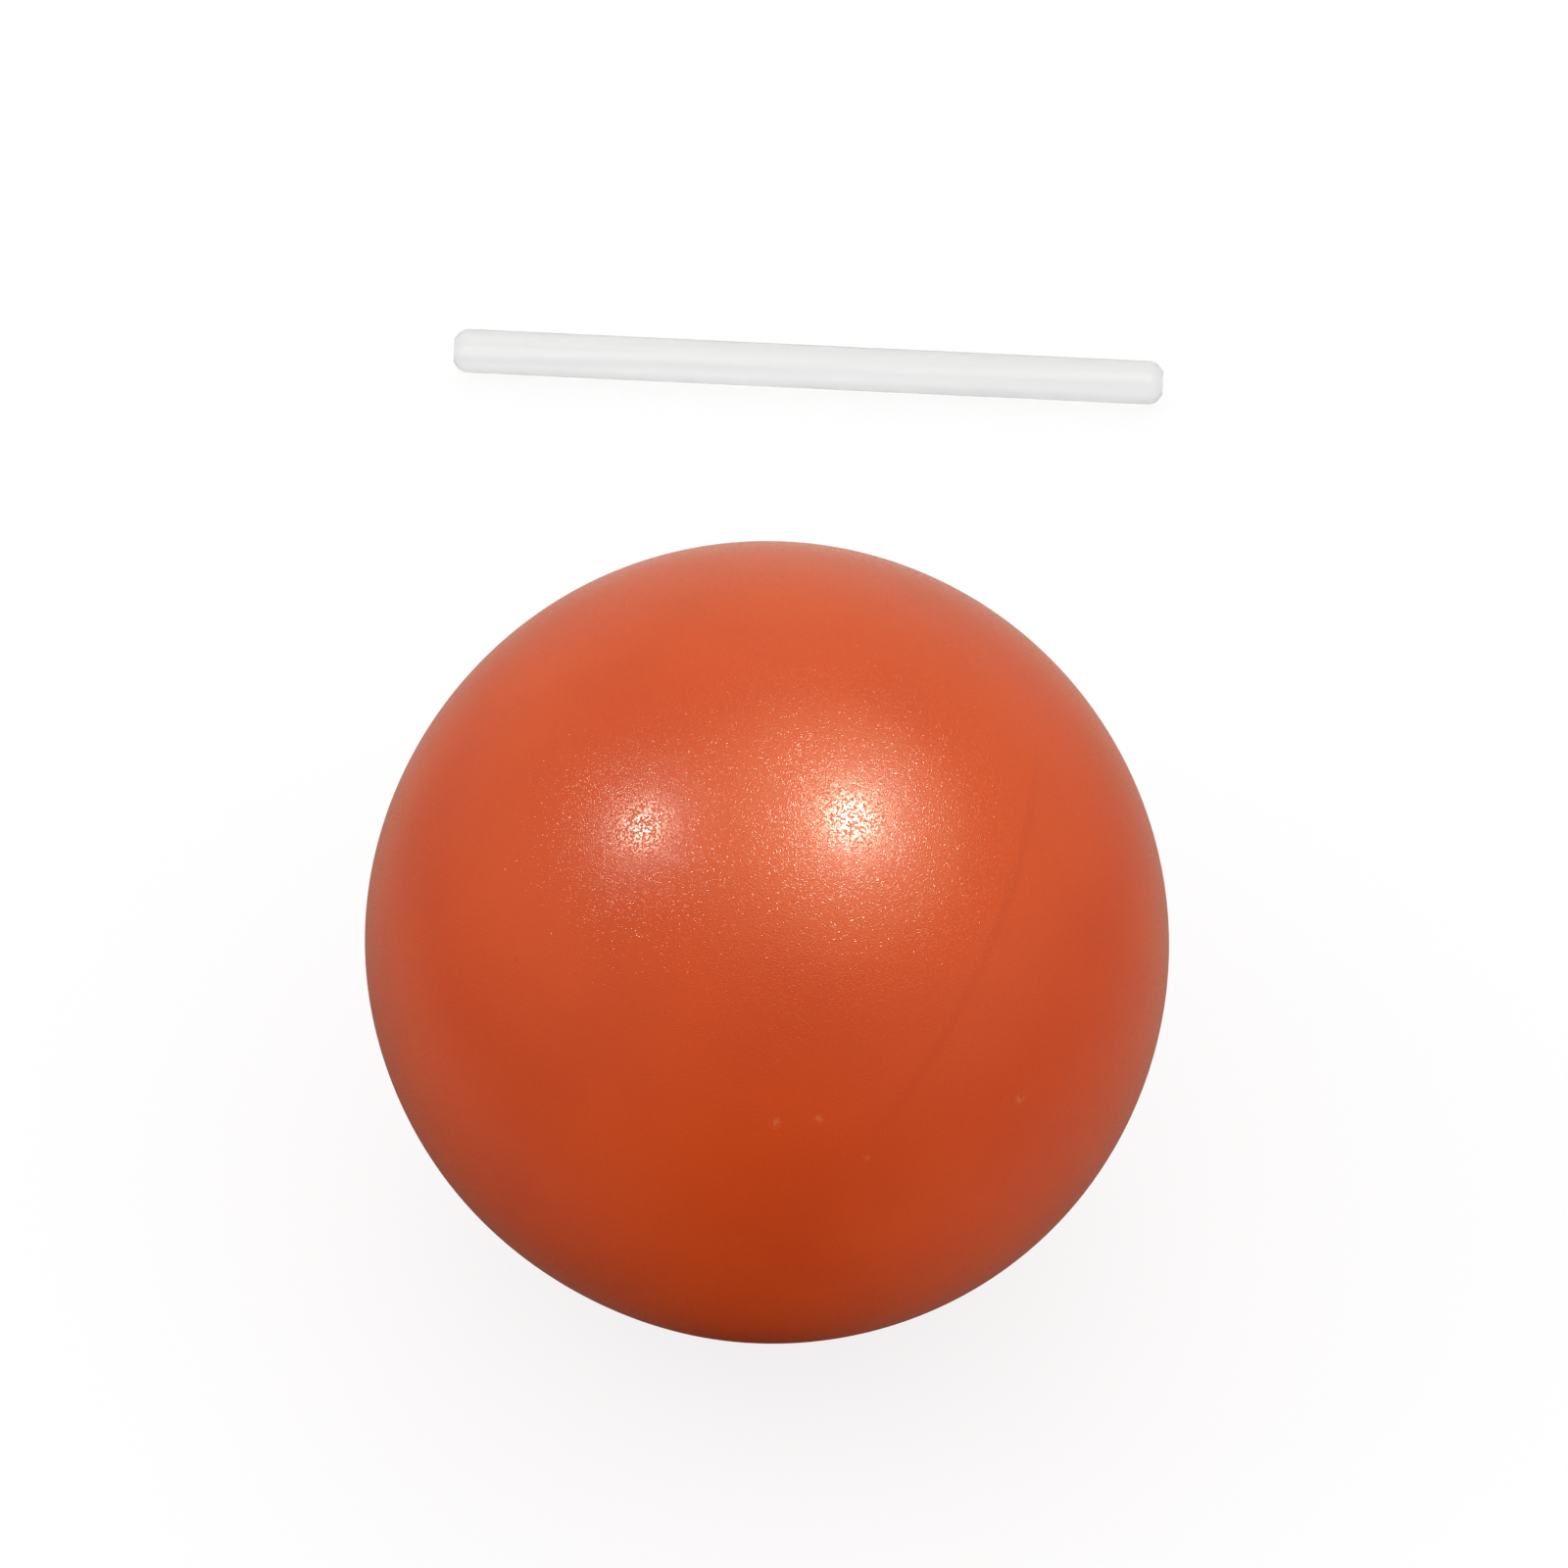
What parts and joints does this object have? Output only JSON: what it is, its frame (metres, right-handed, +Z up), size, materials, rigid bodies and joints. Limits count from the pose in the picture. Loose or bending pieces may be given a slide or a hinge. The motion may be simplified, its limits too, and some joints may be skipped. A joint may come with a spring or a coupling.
{
  "type": "pilates ball",
  "caption": "Soft hollow vinyl exercise ball with a push-in stopper in its flush valve, standing on a small contact flat, with its loose inflation straw lying behind it.",
  "frame": {"origin": "centre of the small flat that the ball stands on, on the floor", "axes": "+Z up; +Y out of the valve and towards the straw; X along the straw"},
  "size_m": [0.2, 0.3784, 0.1989],
  "materials": {
    "orange_vinyl": "satin",
    "valve_vinyl": "satin",
    "white_polythene": "satin",
    "milky_polypropylene": "satin"
  },
  "bodies": {
    "ball": {"ball_skin": "orange_vinyl", "valve_seat": "valve_vinyl"},
    "plug": {"valve_plug": "white_polythene"},
    "straw": {"inflation_straw": "milky_polypropylene"}
  },
  "joints": [
    {"name": "plug_pull", "type": "slide", "parent": "ball", "child": "plug", "axis": [0, 1, 0], "range_m": [0, 0.026]},
    {"name": "straw_lift", "type": "slide", "parent": "ball", "child": "straw", "axis": [0, 0, 1], "range_m": [0, 0.25]}
  ]
}
